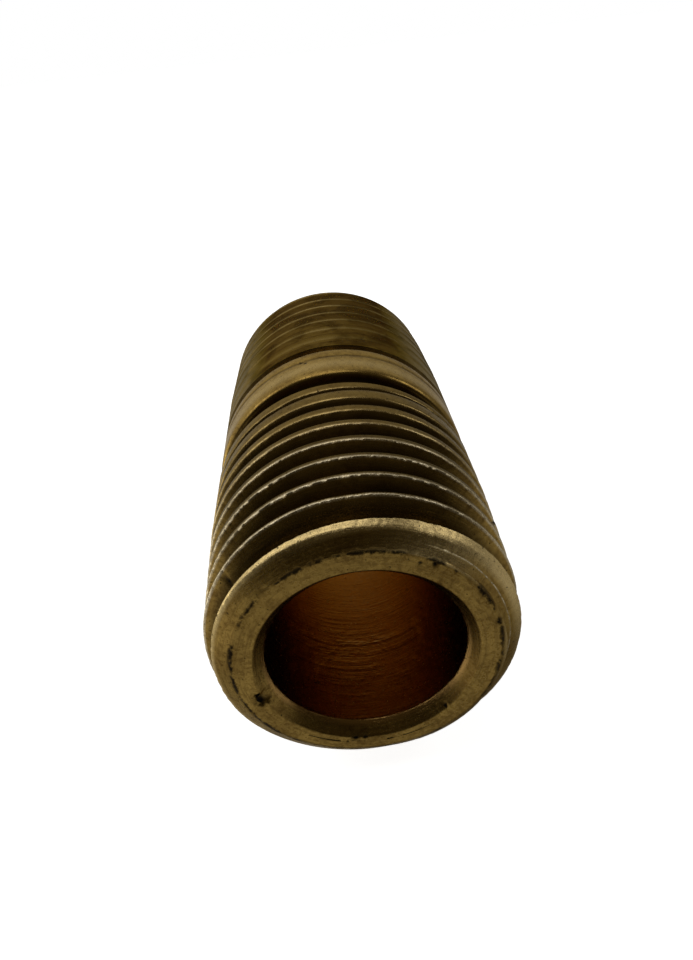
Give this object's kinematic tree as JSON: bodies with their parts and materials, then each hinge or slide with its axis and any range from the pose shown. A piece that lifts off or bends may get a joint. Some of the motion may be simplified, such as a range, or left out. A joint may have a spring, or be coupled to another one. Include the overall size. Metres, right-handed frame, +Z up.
{
  "type": "threaded pipe nipple",
  "caption": "Short brass close nipple with a right-hand tapered pipe thread on each end, a narrow plain band between them and a straight through bore, for joining two female pipe ports.",
  "frame": {"origin": "on the bore axis, halfway along the nipple", "axes": "+Y along the bore axis from the front end to the rear end, +Z up with the nipple lying on its side, +X to the right seen from the front end"},
  "size_m": [0.0138, 0.0284, 0.0138],
  "materials": {
    "brass": "machined, dull and lightly tarnished"
  },
  "bodies": {
    "root": {"threaded_nipple": "brass"}
  },
  "joints": []
}
